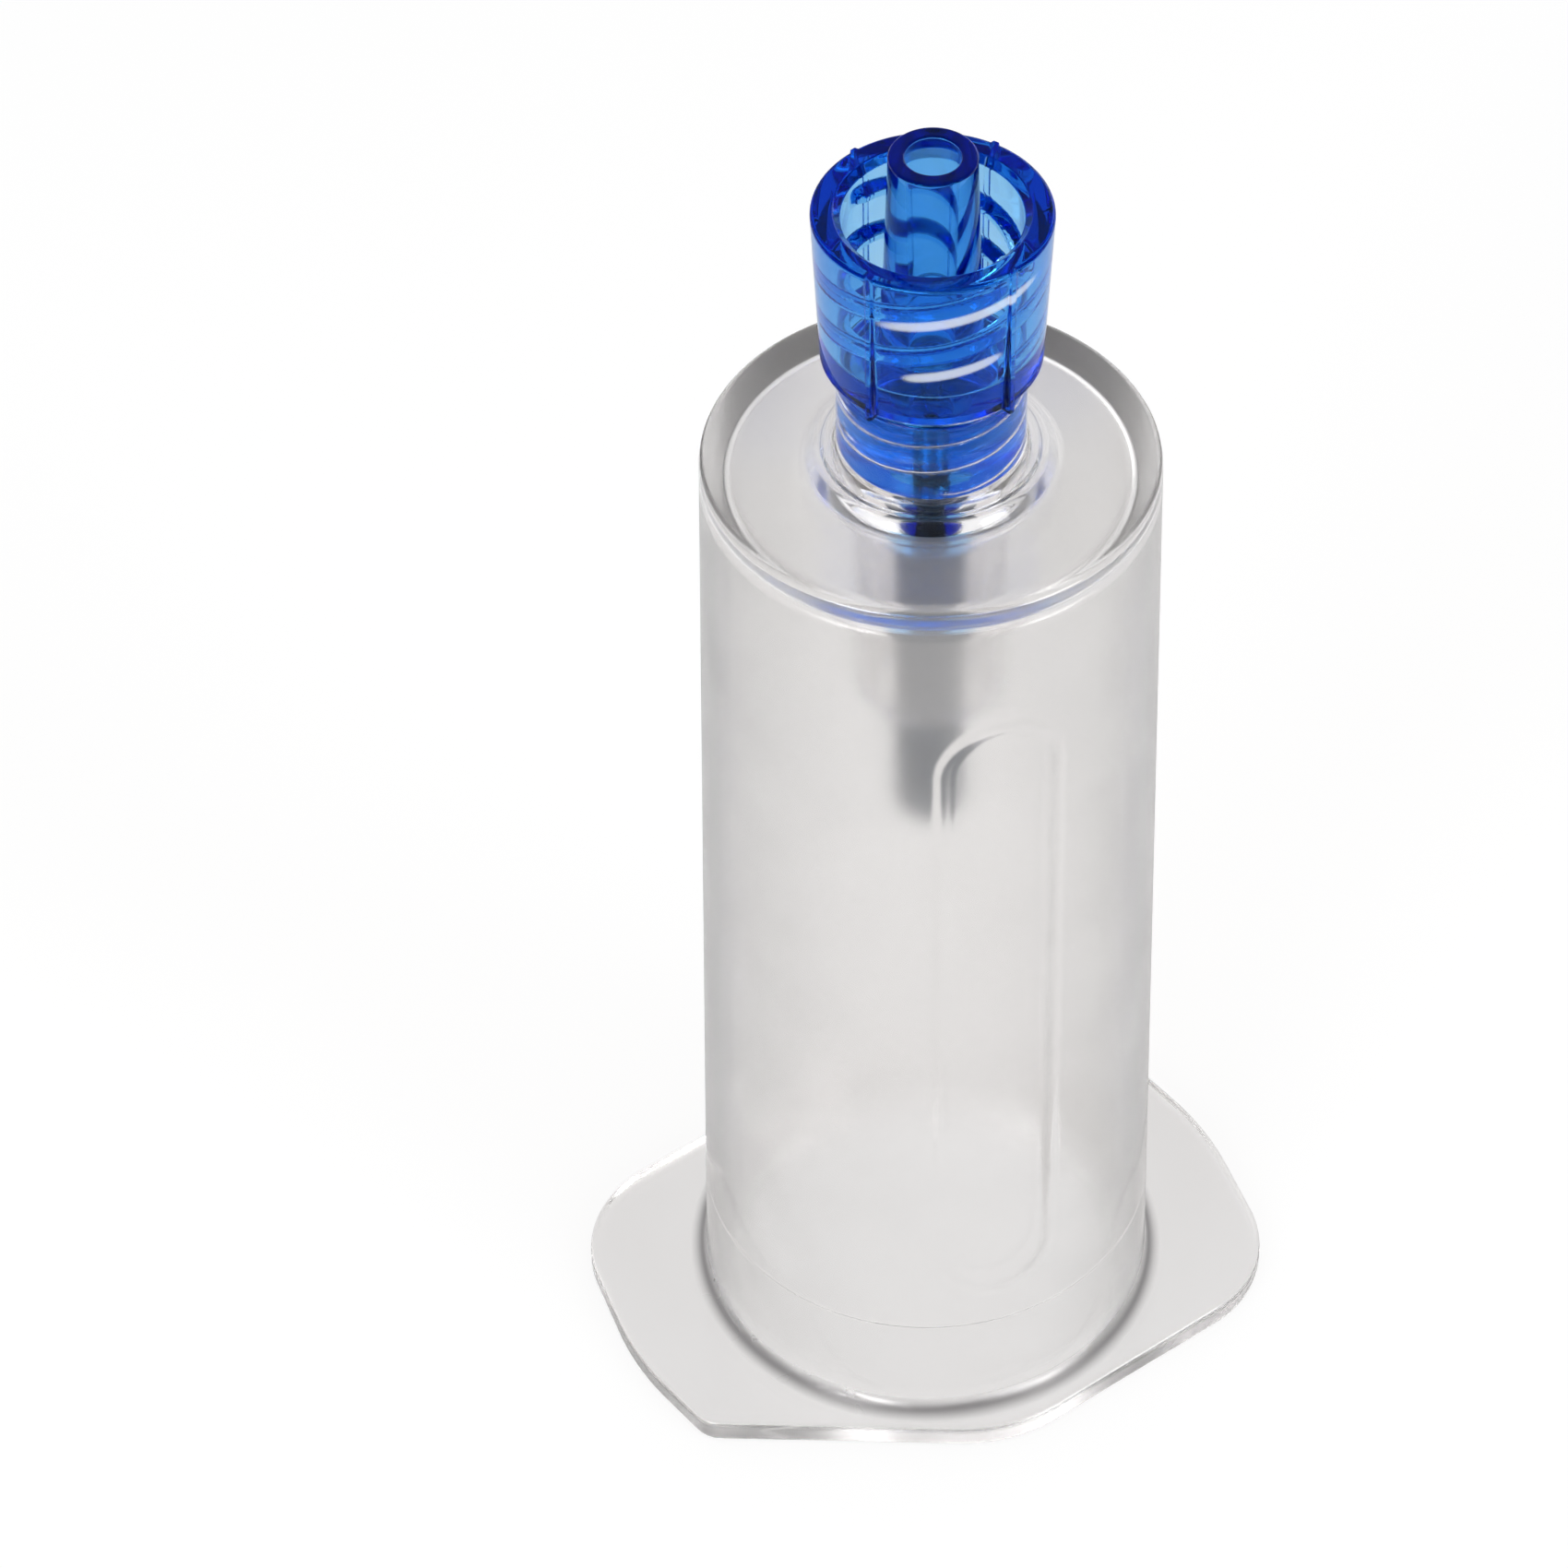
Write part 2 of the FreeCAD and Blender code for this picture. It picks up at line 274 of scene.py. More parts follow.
def turned_mesh(name, radius, height, azimuth, poles=False):
    """Mesh of a turned form. The point of a row and a column is (radius * sin(azimuth),
    -radius * cos(azimuth), height). Columns close on themselves, and so do rows, unless the first and last
    are poles on the axis. Faces come row by row."""
    rows, columns = radius.shape
    angle = np.radians(azimuth)[None, :]
    points = np.stack([radius * np.sin(angle), -radius * np.cos(angle), height + 0 * angle], axis=-1)
    number = np.arange(rows * columns).reshape(rows, columns)
    right = np.roll(number, -1, axis=1)
    if poles:
        quads = np.stack([number[1:-2], right[1:-2], right[2:-1], number[2:-1]], axis=-1).reshape(-1, 4)
        first, last = number[0, 0], number[-1, 0]
        low = np.stack([np.full(columns, first), right[1], number[1]], axis=-1)
        high = np.stack([number[-2], right[-2], np.full(columns, last)], axis=-1)
        faces = quads.tolist() + low.tolist() + high.tolist()
        keep = np.concatenate([[first], number[1:-1].ravel(), [last]])
        renumber = np.zeros(rows * columns, int)
        renumber[keep] = np.arange(len(keep))
        faces = [renumber[face].tolist() for face in faces]
        points = points.reshape(-1, 3)[keep]
    else:
        above, above_right = np.roll(number, -1, axis=0), np.roll(right, -1, axis=0)
        faces = np.stack([number, right, above_right, above], axis=-1).reshape(-1, 4).tolist()
        points = points.reshape(-1, 3)
    mesh = bpy.data.meshes.new(name)
    mesh.from_pydata((points / 1000).tolist(), [], faces)
    mesh.polygons.foreach_set("use_smooth", np.ones(len(mesh.polygons), bool))
    mesh.update()
    return mesh


def smooth_step(share):
    """Goes from 0 to 1 as 3s^2 - 2s^3, flat at both ends."""
    inside = np.clip(share, 0, 1)
    return inside * inside * (3 - 2 * inside)


def helical_ridge(azimuth, height, low, high, lead, starts, first_azimuth, base_width, crest_width, run_out):
    """Share of a thread's depth at each azimuth and height: 1 on the crest and 0 off the ridge. The middle
    line climbs by the lead in a turn from the height low at the first azimuth. The share falls along straight
    flanks with the distance from the nearest turn, and at both ends over a run-out height."""
    pitch = lead / starts
    above = height - low - lead * ((azimuth - first_azimuth) % 360) / 360
    off = above - pitch * np.round(above / pitch)
    middle = height - off
    flank = np.clip((base_width / 2 - np.abs(off)) / ((base_width - crest_width) / 2), 0, 1)
    return flank * np.clip((middle - low) / run_out, 0, 1) * np.clip((high - middle) / run_out, 0, 1)


def barrel_radius(height):
    """Radius of the barrel's outside, which narrows evenly from the mouth to the closed end."""
    return barrel_mouth_radius + (barrel_end_radius - barrel_mouth_radius) * height / barrel_length


def flange_edge(azimuth):
    """Distance of the flange's edge from the axis, read off its rounded outline."""
    corners = flange_corners + [(-x, -y, corner_round) for x, y, corner_round in flange_corners]
    outline = rounded_loop([corner + (fine_row,) for corner in corners], arc_step=2.0)
    toward = np.degrees(np.arctan2(outline[:, 0], -outline[:, 1]))
    return np.interp(azimuth, toward, np.hypot(outline[:, 0], outline[:, 1]), period=360)


def thumb_loop(azimuth, height):
    """How far the raised outline stands out of the barrel. Its middle line keeps one distance from an upright
    segment, so it is a long loop with round ends, and its ridge has smooth edges."""
    reach = loop_width / 2
    across = barrel_radius(height) * np.radians(degrees_apart(azimuth, loop_azimuth))
    along = height - np.clip(height, loop_low + reach, loop_high - reach)
    off = np.abs(np.hypot(across, along) - (reach - loop_ridge_width / 2))
    return loop_ridge_height * smooth_step((loop_ridge_width / 2 - off) / loop_ridge_edge)


# The stem's thread is here because the neck is moulded round it
stem_core_radius, stem_crest_radius = 2.95, 3.4
stem_pitch, stem_base_width, stem_crest_width, stem_run_out, stem_end_gap = 1.55, 0.95, 0.25, 0.1, 0.2
stem_foot_gap = 0.2
stem_foot = neck_floor + stem_foot_gap
stem_low = stem_foot + stem_base_width / 2 + stem_end_gap
stem_high = neck_top - stem_base_width / 2 - stem_end_gap
neck_contact, neck_crest_gap = 0.015, 0.02


def stem_radius(azimuth, height, core=stem_core_radius, crest=stem_crest_radius):
    """Radius of the adapter's threaded stem, or of the bore round it: the core, plus a share of the thread's
    depth."""
    ridge = helical_ridge(azimuth, height, stem_low, stem_high, stem_pitch, 1, 0, stem_base_width,
                          stem_crest_width, stem_run_out)
    return core + (crest - core) * ridge


def holder_section():
    """Corners of the holder's section, from the mouth's inner edge round the flange, up the outside, down
    through the neck, the hub and the guard, and down the cavity."""
    step = barrel_radius(mouth_step_height) - barrel_wall
    guard_foot = end_wall_inside - guard_length
    loop_foot, loop_head = loop_low - loop_row_margin, loop_high + loop_row_margin
    loop_foot_end, loop_head_start = loop_low + loop_row_reach, loop_high - loop_row_reach
    return [
        (barrel_mouth_radius - barrel_wall + mouth_step_depth + mouth_lead_in, 0, mouth_round, 0.6),
        (flange_middle, 0, flange_edge_round, 2.0),
        (flange_middle, flange_thickness, flange_edge_round, 0.5),
        (barrel_radius(flange_thickness), flange_thickness, flange_root_round, coarse),
        (barrel_radius(loop_foot), loop_foot, 0, fine_row),
        (barrel_radius(loop_foot_end), loop_foot_end, 0, coarse),
        (barrel_radius(loop_head_start), loop_head_start, 0, fine_row),
        (barrel_radius(loop_head), loop_head, 0, coarse),
        (barrel_end_radius, barrel_length, barrel_end_round, 1.5),
        (pad_radius, barrel_length, pad_root_round, 1.0),
        (pad_radius - pad_slope, pad_top, pad_edge_round, 1.0),
        (neck_radius, pad_top, neck_root_round, 1.5),
        (neck_radius, neck_top, neck_rim_round, 1.0),
        (neck_bore_radius, neck_top, sharp_round, thread_row),
        (neck_bore_radius, neck_floor, sharp_round, 1.0),
        (nose_radius - nose_contact, neck_floor, sharp_round, 1.0),
        (nose_radius - nose_contact, hub_foot, hub_round, 1.0),
        (guard_bore_radius, hub_foot, hub_round, 2.0),
        (guard_bore_radius, guard_foot, guard_rim_round, 1.0),
        (guard_radius, guard_foot, guard_rim_round, 2.0),
        (guard_root_radius, end_wall_inside, guard_root_round, 1.5),
        (barrel_radius(end_wall_inside) - barrel_wall, end_wall_inside, cavity_end_round, coarse),
        (step, mouth_step_height, mouth_step_round, 1.0),
        (step + mouth_step_depth, mouth_step_height, mouth_step_round, 2.0),
        (barrel_radius(mouth_lead_in) - barrel_wall + mouth_step_depth, mouth_lead_in, mouth_round, 1.0),
    ]


# Each stretch of the holder's surface has its haze, its roughness and the tint of what it reflects
holder_finishes = {
    "clear": (0.02, 0.16, (1.0, 1.0, 1.0)),
    # the root's darker tint is painted shade, a soft ring round the barrel's foot
    "root": (0.0, 0.3, (0.3, 0.3, 0.3)),
    "frosted": (0.2, 0.2, (1.0, 1.0, 1.0)),
    "underside": (0.22, 0.14, (1.0, 1.0, 1.0)),
    "guard": (0.1, 0.14, (1.0, 1.0, 1.0)),
    "pad": (0.0, 0.1, (0.7, 0.7, 0.7)),
    "neck": (0.0, 0.12, (0.5, 0.5, 0.5)),
    "bonded": (0.0, 0.08, (0.02, 0.12, 0.35)),
}


def holder_finish(radius, height):
    """Number of the finish of each row of faces, from where the row is in the section."""
    margin = 0.1
    inside = (radius < barrel_radius(height) - barrel_wall / 2) & (height < end_wall_inside + margin)
    inside &= height > margin
    on_root = (radius > barrel_radius(height) - margin) & (radius < barrel_mouth_radius + flange_root_round)
    on_root &= (height > flange_thickness - margin) & (height < flange_thickness + flange_root_round)
    on_pad = (height > barrel_length + margin / 2) & (radius > neck_radius - 2 * margin)
    bonded = (radius < neck_radius - 5 * margin) & (height > hub_foot + margin / 2)
    bonded &= (height < neck_top - margin / 5) & (
        (radius < guard_bore_radius - margin) | (height > neck_floor - margin / 5))
    tests = {
        "bonded": bonded,
        "neck": on_pad & (height > pad_top + neck_finish_foot),
        "pad": on_pad,
        "guard": inside & (radius < guard_root_radius + margin),
        "underside": inside & (height > end_wall_inside - margin),
        "frosted": inside,
        "root": on_root,
    }
    names = list(holder_finishes)
    return np.select(list(tests.values()), [names.index(name) for name in tests], names.index("clear"))


def holder_mesh():
    """Section of the holder, turned about the axis. The flange's rows are stretched to its edge, the barrel's
    outside carries the raised outline, and the neck's bore follows the thread that sits in it."""
    section = rounded_loop(holder_section())
    azimuth = closer_azimuths(holder_columns, [loop_azimuth], loop_column_reach, loop_columns_closer)
    around = azimuth[None, :]
    radius, height = section[:, :1], section[:, 1:]
    flange_foot = barrel_mouth_radius + flange_root_round
    flange_share = np.clip((radius - flange_foot) / (flange_middle - flange_edge_round - flange_foot), 0, 1)
    full = radius + flange_share * (flange_edge(azimuth)[None, :] - flange_middle)
    on_barrel = radius > barrel_radius(height) - barrel_end_round
    full = full + np.where(on_barrel, thumb_loop(around, height), 0)
    in_neck = (np.abs(radius - neck_bore_radius) < 1e-6) & (height > neck_floor)
    bore = stem_radius(around, height, stem_core_radius - neck_contact, stem_crest_radius + neck_crest_gap)
    full = np.where(in_neck, bore, full)
    mesh = turned_mesh("holder", full, height, azimuth)
    finish = holder_finish(radius, height)
    mesh.polygons.foreach_set("material_index", np.repeat(finish.ravel(), holder_columns).astype(int))
    return mesh


def cloudy(tree, size, low, high):
    """Output that drifts softly between two values over patches of a size in millimetres."""
    noise_detail, noise_low, noise_high = 2.0, 0.3, 0.7
    cloud = tree.nodes.new("ShaderNodeTexNoise")
    cloud.inputs["Scale"].default_value = 1000 / size
    cloud.inputs["Detail"].default_value = noise_detail
    tree.links.new(tree.nodes.new("ShaderNodeTexCoord").outputs["Object"], cloud.inputs["Vector"])
    return add_range(tree, cloud.outputs["Fac"], noise_low, noise_high, low, high)


def clear_plastic(name, tint, haze, roughness, shadow, reflected):
    """Clear plastic: a glass-like body with a gloss that drifts a little and a share of haze, through which
    lamps shine."""
    plastic_ior, gloss_drift, patch_size = 1.49, 0.2, 4.0
    material, tree = empty_material(name)
    body = tree.nodes.new("ShaderNodeBsdfPrincipled")
    body.inputs["Base Color"].default_value = (*tint, 1.0)
    body.inputs["Transmission Weight"].default_value = 1 - haze
    gloss = cloudy(tree, patch_size, (1 - gloss_drift) * roughness, (1 + gloss_drift) * roughness)
    tree.links.new(gloss, body.inputs["Roughness"])
    body.inputs["IOR"].default_value = plastic_ior
    body.inputs["Specular Tint"].default_value = (*reflected, 1.0)
    lets_light = tree.nodes.new("ShaderNodeBsdfTransparent")
    lets_light.inputs["Color"].default_value = (*shadow, 1.0)
    for_lamps = tree.nodes.new("ShaderNodeLightPath").outputs["Is Shadow Ray"]
    show_mix(tree, for_lamps, body.outputs[0], lets_light.outputs[0])
    return material


def object_place(tree):
    """Outputs X, Y and Z with a point's place on the object, in metres."""
    apart = tree.nodes.new("ShaderNodeSeparateXYZ")
    tree.links.new(tree.nodes.new("ShaderNodeTexCoord").outputs["Object"], apart.inputs[0])
    return apart.outputs


def add_distance(tree, first, second):
    """Output with the root of first^2 + second^2."""
    squares = [add_math(tree, "MULTIPLY", value, value) for value in (first, second)]
    return add_math(tree, "SQRT", add_math(tree, "ADD", *squares))


def add_blend(tree, share, first, second):
    """Colour that goes from the first to the second while the share goes from 0 to 1."""
    blend = tree.nodes.new("ShaderNodeMix")
    blend.data_type = "RGBA"
    blend.inputs[6].default_value = (*first, 1.0)
    blend.inputs[7].default_value = (*second, 1.0)
    tree.links.new(share, blend.inputs["Factor"])
    return blend.outputs[2]


clear_tint, clear_shadow = (0.99, 0.979, 0.974), (0.94, 0.93, 0.925)
# Painted shade: a soft dark ring on the flange's root, round the barrel's foot
ring_outward, ring_upward, ring_reach = 0.2, 0.25, 0.75
ring_radius, ring_height = barrel_mouth_radius + ring_outward, flange_thickness + ring_upward
root_shade_tint = (0.12, 0.115, 0.12)
guard_hazy_top, guard_clear_foot, guard_top_haze = 47.0, 49.5, 0.01


def paint_root_shade(tree):
    """Painted shade: a soft dark ring round the barrel's foot, on the flange's root. The darker tint's share
    falls smoothly from 1 to 0 with the distance from the ring, the root of (r - its r)^2 + (z - its z)^2."""
    place = object_place(tree)
    from_axis = add_distance(tree, place["X"], place["Y"])
    from_ring = add_distance(tree, add_math(tree, "SUBTRACT", from_axis, ring_radius / 1000),
                             add_math(tree, "SUBTRACT", place["Z"], ring_height / 1000))
    share = add_range(tree, from_ring, 0.0, ring_reach / 1000, 1.0, 0.0, smooth=True)
    tint = add_blend(tree, share, clear_tint, root_shade_tint)
    tree.links.new(tint, tree.nodes["Principled BSDF"].inputs["Base Color"])


def clear_guard_top(tree):
    """The guard's haze fades out evenly towards the end wall, where the moulding is solid and looks clear."""
    see_through = add_range(tree, object_place(tree)["Z"], guard_hazy_top / 1000, guard_clear_foot / 1000,
                            1 - holder_finishes["guard"][0], 1 - guard_top_haze)
    tree.links.new(see_through, tree.nodes["Principled BSDF"].inputs["Transmission Weight"])


holder_data = holder_mesh()
for finish_name, (finish_haze, finish_roughness, finish_reflected) in holder_finishes.items():
    holder_data.materials.append(clear_plastic(finish_name + "_plastic", clear_tint, finish_haze,
                                               finish_roughness, clear_shadow, finish_reflected))
paint_root_shade(holder_data.materials["root_plastic"].node_tree)
clear_guard_top(holder_data.materials["guard_plastic"].node_tree)
holder = bpy.data.objects.new("clear_holder", holder_data)
bpy.context.collection.objects.link(holder)
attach(holder, "root")
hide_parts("holder")


# Luer adapter: one moulding of see-through blue plastic. The male cone stands in a lock collar that has a
# right-hand double start thread inside and four slim ribs outside. Below it a threaded stem is screwed and
# bonded in the holder's neck, and a nose with the socket for the needle reaches through the hub.
tip_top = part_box("luer_adapter")[1].z * 1000
nose_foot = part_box("luer_adapter")[0].z * 1000
cannula_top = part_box("rear_cannula")[1].z * 1000
tip_projection, collar_length, collar_floor = 3.1, 8.2, 1.2
collar_top = tip_top - tip_projection
collar_foot = collar_top - collar_length
lock_floor = collar_foot + collar_floor
collar_top_radius, collar_foot_radius, shoulder_radius = 5.39, 5.0, 3.9
collar_top_round, collar_edge_round, shoulder_round = 0.2, 0.15, 0.08
rib_azimuths = (-31.0, 41.0, 149.0, 221.0)
rib_radius, rib_width, rib_edge, rib_root_gap, rib_root_rise = 5.42, 0.36, 0.1, 0.4, 0.4
rib_column_reach, rib_columns_closer = 3.0, 3.0
lock_root_radius, lock_crest_radius = 4.05, 3.5
lock_lead, lock_starts, lock_azimuth = 5.0, 2, 220.0
lock_base_width, lock_crest_width, lock_run_out, lock_margin = 1.0, 0.3, 0.12, 0.15
lock_lead_in, lock_lead_in_round, lock_floor_round = 0.35, 0.1, 0.15
tip_end_radius, tip_taper, tip_root_round, tip_end_round = 1.98, 0.03, 0.3, 0.12
tip_bore_radius, tip_bore_foot_radius, tip_bore_foot_height, tip_bore_foot_round = 1.25, 1.0, 0.9, 0.2
tip_bore_round, nose_round, stem_foot_round = 0.1, 0.1, 0.1
needle_bore_radius, needle_bore_length = 0.3, 0.1
socket_radius, socket_round = 0.45, 0.04
outside_from = 0.5
adapter_columns = 296


def adapter_section():
    """Corners of the adapter's section, from the socket's mouth up the nose, the stem and the collar's
    outside, down in the collar, up the male cone, and down its bore and the socket."""
    return [
        (socket_radius, nose_foot, socket_round, 1.0),
        (nose_radius, nose_foot, nose_round, 1.0),
        (nose_radius, stem_foot, sharp_round, 1.0),
        (stem_core_radius, stem_foot, stem_foot_round, thread_row),
        (stem_core_radius, neck_top, 0, 1.0),
        (shoulder_radius, neck_top, shoulder_round, 1.0),
        (shoulder_radius, collar_foot, collar_edge_round, 1.0),
        (collar_foot_radius, collar_foot, collar_edge_round, 0.4),
        (collar_top_radius, collar_top, collar_top_round, 1.0),
        (lock_root_radius + lock_lead_in, collar_top, lock_lead_in_round, 1.0),
        (lock_root_radius, collar_top - lock_lead_in, 0, thread_row),
        (lock_root_radius, lock_floor, lock_floor_round, 1.0),
        (tip_end_radius + tip_taper * (tip_top - lock_floor), lock_floor, tip_root_round, 2.0),
        (tip_end_radius, tip_top, tip_end_round, 1.0),
        (tip_bore_radius, tip_top, tip_bore_round, 1.5),
        (tip_bore_foot_radius, cannula_top + tip_bore_foot_height, tip_bore_foot_round, 1.0),
        (needle_bore_radius, cannula_top + needle_bore_length, 0, 1.0),
        (needle_bore_radius, cannula_top, socket_round, 1.0),
        (socket_radius, cannula_top, socket_round, 2.0),
    ]


def adapter_mesh():
    """Section of the adapter, turned about the axis. The stem's and the collar's rows follow their threads,
    and the collar's outside stands out to the ribs' radius at each rib."""
    section = rounded_loop(adapter_section())
    azimuth = closer_azimuths(adapter_columns, rib_azimuths, rib_column_reach, rib_columns_closer)
    around = azimuth[None, :]
    radius, height = section[:, :1], section[:, 1:]
    lock_low = lock_floor + lock_base_width / 2 + lock_margin
    lock_high = collar_top - lock_lead_in - lock_base_width / 2 - lock_margin
    lock = helical_ridge(around, height, lock_low, lock_high, lock_lead, lock_starts, lock_azimuth,
                         lock_base_width, lock_crest_width, lock_run_out)
    in_collar = (np.abs(radius - lock_root_radius) < 1e-6) & (height > lock_floor)
    full = np.where(in_collar, radius + (lock_crest_radius - lock_root_radius) * lock, radius)
    on_stem = (np.abs(radius - stem_core_radius) < 1e-6) & (height < neck_top - 1e-6)
    full = np.where(on_stem, stem_radius(around, height), full)
    away = np.min([np.abs(degrees_apart(around, rib)) for rib in rib_azimuths], axis=0)
    on_rib = smooth_step((rib_width / 2 + rib_edge / 2 - rib_radius * np.radians(away)) / rib_edge)
    outside = np.clip((radius - shoulder_radius - rib_root_gap) / rib_root_rise, 0, 1) * (
        radius > lock_root_radius + outside_from)
    full = full + np.where(full < rib_radius, (rib_radius - full) * on_rib * outside, 0)
    return turned_mesh("luer_adapter", full, height, azimuth)


blue_tint, blue_roughness = (0.9, 0.96, 1.0), 0.03
blue_shadow, blue_reflected = (0.5, 0.7, 0.95), (0.02, 0.35, 0.75)
blue_depth_colour, blue_depth_density = (0.04, 0.6, 0.91, 1.0), 880.0
# Painted highlights: two pale streaks of haze on the collar's front, following the thread
streaks = [(68.45, 0.043, 0.125), (65.35, 0.03, 0.075)]
streak_width, streak_haze, streak_edge = 0.7, 0.5, 0.9


def paint_highlight_streaks(tree):
    """Painted highlights: two pale streaks of haze on the collar's front, outside the thread, which stand in
    for highlights along it. Each is given as (height, middle, reach), the last two in turns from the front,
    and climbs with the thread, its middle line at height + lead * turns. Its share is
    1 - (distance from the line / half the width)^2 - (turns from the middle / reach)^6."""
    math_node = functools.partial(add_math, tree)
    place = object_place(tree)
    azimuth = math_node("ARCTAN2", place["X"], math_node("MULTIPLY", place["Y"], -1.0))
    turns = math_node("DIVIDE", azimuth, math.tau)
    height = math_node("MULTIPLY", place["Z"], 1000.0)
    shares = []
    for streak_height, streak_middle, streak_reach in streaks:
        off = math_node("SUBTRACT", height, math_node("MULTIPLY_ADD", turns, lock_lead, streak_height))
        across = math_node("DIVIDE", math_node("ABSOLUTE", off), streak_width / 2)
        aside = math_node("ABSOLUTE", math_node("SUBTRACT", turns, streak_middle))
        along = math_node("DIVIDE", aside, streak_reach)
        bent = math_node("ADD", math_node("POWER", across, 2.0), math_node("POWER", along, 6.0))
        shares.append(math_node("SUBTRACT", 1.0, bent))
    outside = math_node("GREATER_THAN", add_distance(tree, place["X"], place["Y"]),
                        (lock_root_radius + outside_from) / 1000)
    streak = add_range(tree, math_node("MULTIPLY", math_node("MAXIMUM", *shares), outside), 0.0, streak_edge,
                       0.0, 1.0, smooth=True)
    tree.links.new(math_node("MULTIPLY_ADD", streak, -streak_haze, 1.0),
                   tree.nodes["Principled BSDF"].inputs["Transmission Weight"])


blue = clear_plastic("blue_plastic", blue_tint, 0.0, blue_roughness, blue_shadow, blue_reflected)
blue_depth = blue.node_tree.nodes.new("ShaderNodeVolumeAbsorption")
blue_depth.inputs["Color"].default_value = blue_depth_colour
blue_depth.inputs["Density"].default_value = blue_depth_density
blue.node_tree.links.new(blue_depth.outputs[0], blue.node_tree.nodes["Material Output"].inputs["Volume"])
paint_highlight_streaks(blue.node_tree)

adapter_data = adapter_mesh()
adapter_data.materials.append(blue)
adapter = bpy.data.objects.new("blue_luer_adapter", adapter_data)
bpy.context.collection.objects.link(adapter)
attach(adapter, "root")
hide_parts("luer_adapter")


# Rear needle: a drawn steel tube, ground to a bevel at its lower end. It is glued in the socket of the nose.
# Its colour is painted dark as shade there and in the sleeve, but bright near its upper end, in the blue
# stem.
cannula_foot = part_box("rear_cannula")[0].z * 1000
cannula_radius, cannula_bore_radius, bevel_angle = 0.455, 0.3, 20.0
cannula_columns, cannula_crease = 48, 40
# The darker steel low down is painted shade; the brighter one is the steel's own colour
steel_painted_shade, steel_bright = (0.04, 0.045, 0.06), (0.55, 0.56, 0.58)
steel_shade_top, steel_bright_foot = 56.5, 58.0
steel_patch, steel_smoothest, steel_roughest = 0.6, 0.2, 0.32


def cannula_mesh():
    """Tube whose lower rim lies on a slanting plane, at the height foot + (radius - r * cos(azimuth)) /
    tan(bevel)."""
    azimuth = np.linspace(0, 360, cannula_columns, endpoint=False)
    radius = np.array([cannula_radius] * 3 + [cannula_bore_radius] * 3)[:, None]
    up = np.array([0, 0.5, 1, 1, 0.5, 0])[:, None]
    rise = cannula_radius - radius * np.cos(np.radians(azimuth))[None, :]
    rim = cannula_foot + rise / math.tan(math.radians(bevel_angle))
    return turned_mesh("rear_cannula", radius + 0 * rim, rim + up * (cannula_top - rim), azimuth)


def steel_material():
    """Drawn steel, painted dark as shade low down and going bright above, with a gloss that drifts."""
    material, tree = empty_material("drawn_steel")
    body = tree.nodes.new("ShaderNodeBsdfPrincipled")
    share = add_range(tree, object_place(tree)["Z"], steel_shade_top / 1000, steel_bright_foot / 1000,
                      0.0, 1.0)
    tree.links.new(add_blend(tree, share, steel_painted_shade, steel_bright), body.inputs["Base Color"])
    tree.links.new(cloudy(tree, steel_patch, steel_smoothest, steel_roughest), body.inputs["Roughness"])
    body.inputs["Metallic"].default_value = 1.0
    tree.links.new(body.outputs[0], tree.nodes.new("ShaderNodeOutputMaterial").inputs["Surface"])
    return material


cannula_data = cannula_mesh()
cannula_data.materials.append(steel_material())
cannula_data.set_sharp_from_angle(angle=math.radians(cannula_crease))
cannula = bpy.data.objects.new("steel_needle", cannula_data)
bpy.context.collection.objects.link(cannula)
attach(cannula, "root")
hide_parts("rear_cannula")


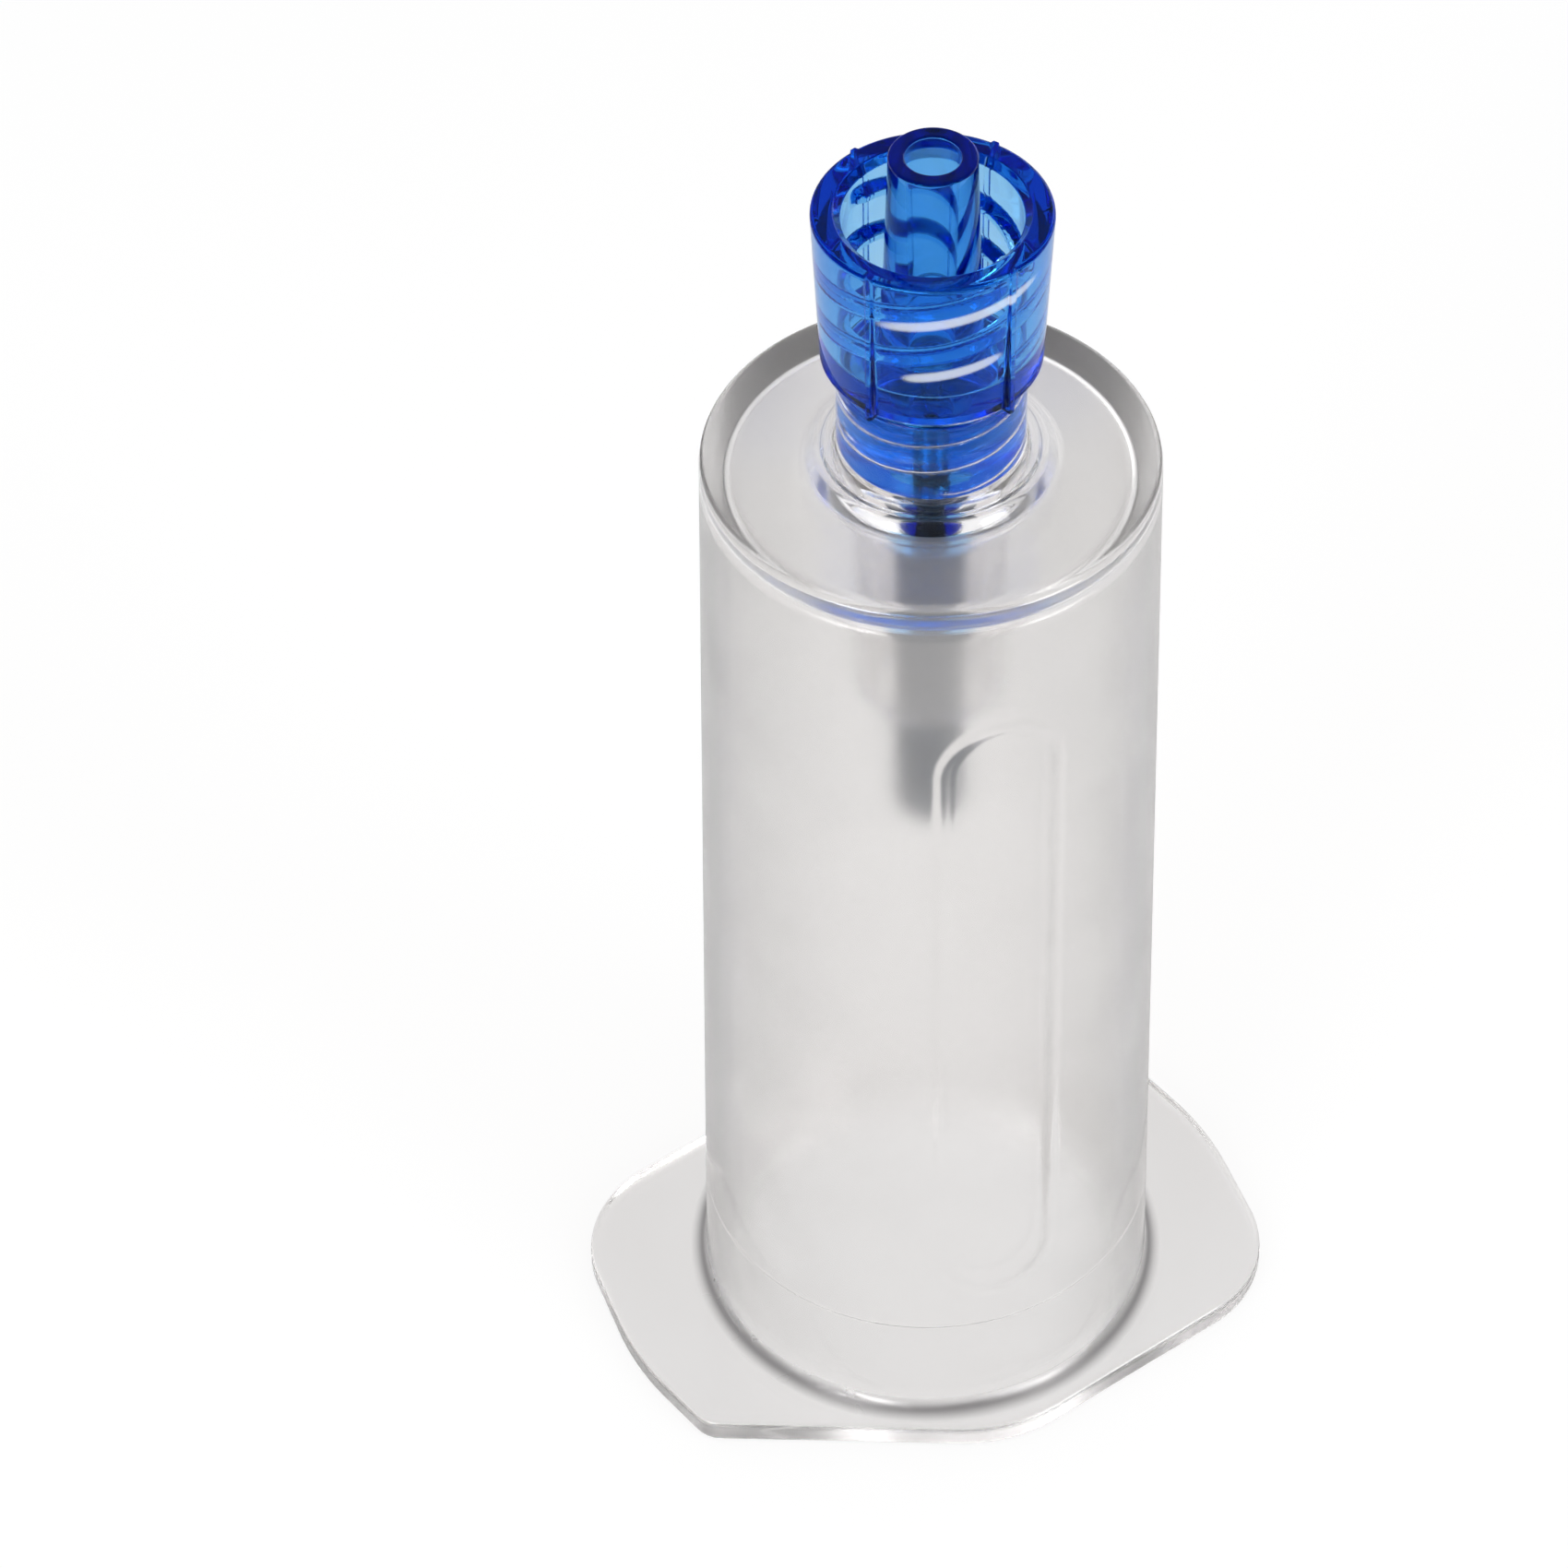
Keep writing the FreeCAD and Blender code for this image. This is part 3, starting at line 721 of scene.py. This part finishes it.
# Sleeve: a dark grey rubber dipping, closed and round at its lower end. It is pushed on the adapter's nose
# and covers the needle, which pierces it when a tube is pushed in.
sleeve_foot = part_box("rubber_sleeve")[0].z * 1000
sleeve_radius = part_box("rubber_sleeve")[1].x * 1000
sleeve_hub_gap, sleeve_seat_margin = 0.02, 0.2
sleeve_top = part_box("rubber_sleeve")[1].z * 1000 - sleeve_hub_gap
sleeve_step = nose_foot - sleeve_seat_margin
sleeve_seat_radius, sleeve_bore_radius, sleeve_end_wall = 1.02, 0.85, 1.2
sleeve_end_round, sleeve_rim_round, sleeve_bore_end_round = 1.4, 0.06, 0.3
sleeve_columns = 96
rubber_darkest, rubber_palest, rubber_patch = (0.006, 0.016, 0.032), (0.014, 0.03, 0.055), 1.2
rubber_gloss_patch, rubber_smoothest, rubber_roughest = 0.5, 0.5, 0.7


def sleeve_mesh():
    """Section from the axis below, up the outside, over the rim and down the bore, turned about the axis."""
    bore_end, axis_margin = sleeve_foot + sleeve_end_wall, 0.02
    loop = rounded_loop([
        (-1.0, sleeve_foot, 0, 4.0),
        (sleeve_radius, sleeve_foot, sleeve_end_round, 1.0),
        (sleeve_radius, sleeve_top, sleeve_rim_round, 1.0),
        (sleeve_seat_radius, sleeve_top, sleeve_rim_round, 1.0),
        (sleeve_seat_radius, sleeve_step, sharp_round, 1.0),
        (sleeve_bore_radius, sleeve_step, sharp_round, 2.0),
        (sleeve_bore_radius, bore_end, sleeve_bore_end_round, 4.0),
        (-1.0, bore_end, 0, 4.0),
    ], arc_step=9.0)
    off_axis = loop[loop[:, 0] > axis_margin]
    section = np.concatenate([[[0, sleeve_foot]], off_axis, [[0, bore_end]]])
    azimuth = np.linspace(0, 360, sleeve_columns, endpoint=False)
    return turned_mesh("rubber_sleeve", section[:, :1] + 0 * azimuth, section[:, 1:], azimuth, poles=True)


def rubber_material():
    """Matt rubber whose dark grey and whose gloss drift a little."""
    material, tree = empty_material("sleeve_rubber")
    body = tree.nodes.new("ShaderNodeBsdfPrincipled")
    grey = add_blend(tree, cloudy(tree, rubber_patch, 0.0, 1.0), rubber_darkest, rubber_palest)
    tree.links.new(grey, body.inputs["Base Color"])
    gloss = cloudy(tree, rubber_gloss_patch, rubber_smoothest, rubber_roughest)
    tree.links.new(gloss, body.inputs["Roughness"])
    tree.links.new(body.outputs[0], tree.nodes.new("ShaderNodeOutputMaterial").inputs["Surface"])
    return material


sleeve_data = sleeve_mesh()
sleeve_data.materials.append(rubber_material())
sleeve = bpy.data.objects.new("needle_sleeve", sleeve_data)
bpy.context.collection.objects.link(sleeve)
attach(sleeve, "root")
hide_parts("rubber_sleeve")
